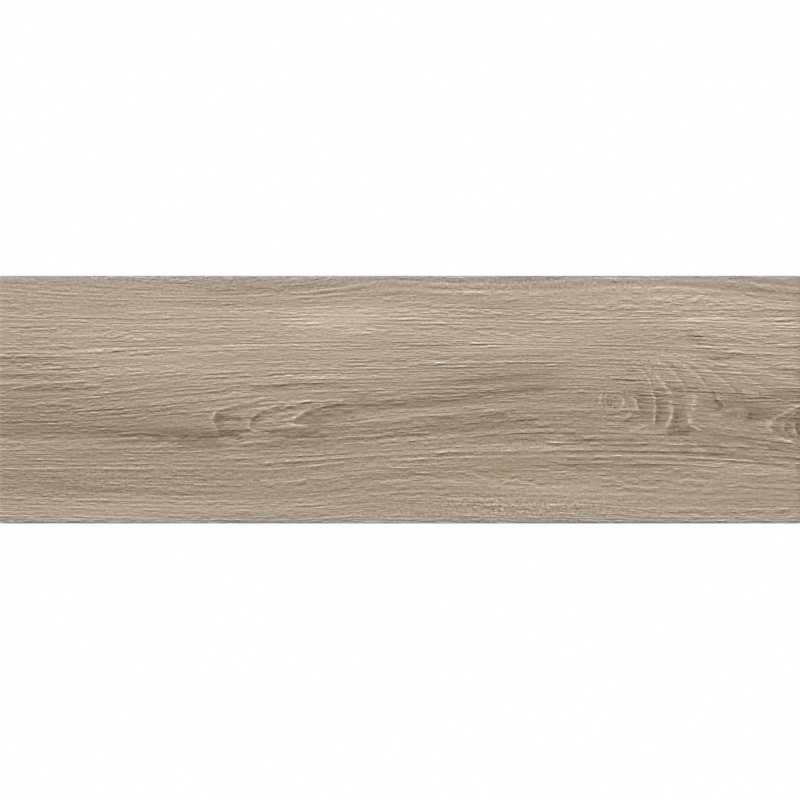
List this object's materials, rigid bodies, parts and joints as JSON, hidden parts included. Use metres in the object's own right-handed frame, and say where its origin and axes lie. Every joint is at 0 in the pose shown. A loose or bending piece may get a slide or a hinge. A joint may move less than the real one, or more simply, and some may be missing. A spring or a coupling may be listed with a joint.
{
  "type": "wood look porcelain plank tile",
  "caption": "Long rectangular porcelain tile with a matt wood-grain face, softly rolled face edges and a ribbed back that keys into adhesive.",
  "frame": {"origin": "middle of the back, on the crests of its ribs", "axes": "+Z out of the wood-grain face, +X along the length, +Y across the width"},
  "size_m": [0.598, 0.185, 0.008],
  "materials": {
    "fired_tile": "matt glaze printed and embossed as greyed oak, over a pressed porcelain body"
  },
  "bodies": {
    "root": {"plank_tile": "fired_tile"}
  },
  "joints": []
}
